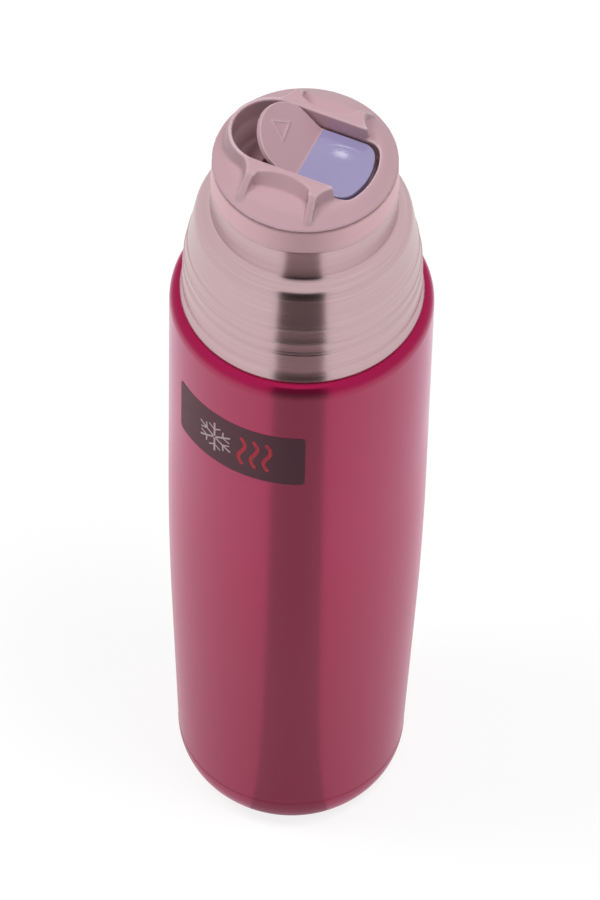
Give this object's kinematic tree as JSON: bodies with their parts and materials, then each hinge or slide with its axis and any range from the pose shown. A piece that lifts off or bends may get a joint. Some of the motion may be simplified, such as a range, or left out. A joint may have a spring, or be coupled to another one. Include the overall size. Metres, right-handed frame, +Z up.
{
  "type": "insulated water bottle",
  "caption": "Double-wall steel vacuum bottle with a lacquered tapering body, a stepped brushed neck and a screw stopper whose rocker flap opens a pouring well at the press of a button.",
  "frame": {"origin": "middle of the flat foot ring, on the bottle's axis", "axes": "+Z up along the bottle's axis, -Y towards the front, +X to the right when seen from the front"},
  "size_m": [0.082, 0.082, 0.3144],
  "materials": {
    "red_lacquer": "metallic lacquer",
    "steel": "brushed around the axis",
    "inner_steel": "satin",
    "foil": "bright foil",
    "getter": "sintered",
    "label": "printed film",
    "lid_plastic": "fine grain",
    "foam": "foam",
    "button_plastic": "satin",
    "silicone": "soft"
  },
  "bodies": {
    "bottle": {"outer_shell": "red_lacquer", "outer_base": "red_lacquer", "neck_collar": "steel", "inner_vessel": "inner_steel", "inner_bottom": "inner_steel", "heat_shield": "foil", "getter_cup": "inner_steel", "getter": "getter", "sealing_tip": "inner_steel", "base_cover": "steel", "label_plate": "label"},
    "gasket_ring": {"stopper_gasket": "silicone"},
    "stopper": {"stopper_top": "lid_plastic", "stopper_plug": "lid_plastic", "plug_insulation": "foam", "plug_bottom": "lid_plastic", "pour_tube": "lid_plastic", "rocker_pin": "steel"},
    "rocker": {"rocker": "lid_plastic", "push_button": "button_plastic", "flap_seal": "silicone", "seal_rivet": "steel"}
  },
  "joints": [
    {"name": "stopper_lift", "type": "slide", "parent": "bottle", "child": "gasket_ring", "axis": [0, 0, 1], "range_m": [0, 0.00876]},
    {"name": "stopper_turn", "type": "hinge", "parent": "gasket_ring", "child": "stopper", "pos_m": [0, 0, 0.28], "axis": [0, 0, 1], "range_deg": [0, 450]},
    {"name": "rocker_tilt", "type": "hinge", "parent": "stopper", "child": "rocker", "pos_m": [0.00028, -0.00012, 0.2997], "axis": [-0.3907, -0.9205, 0], "range_deg": [0, 42]}
  ],
  "couplings": [
    {"joint": "stopper_lift", "follows": "stopper_turn", "m_per_rad": 0.0011141}
  ]
}
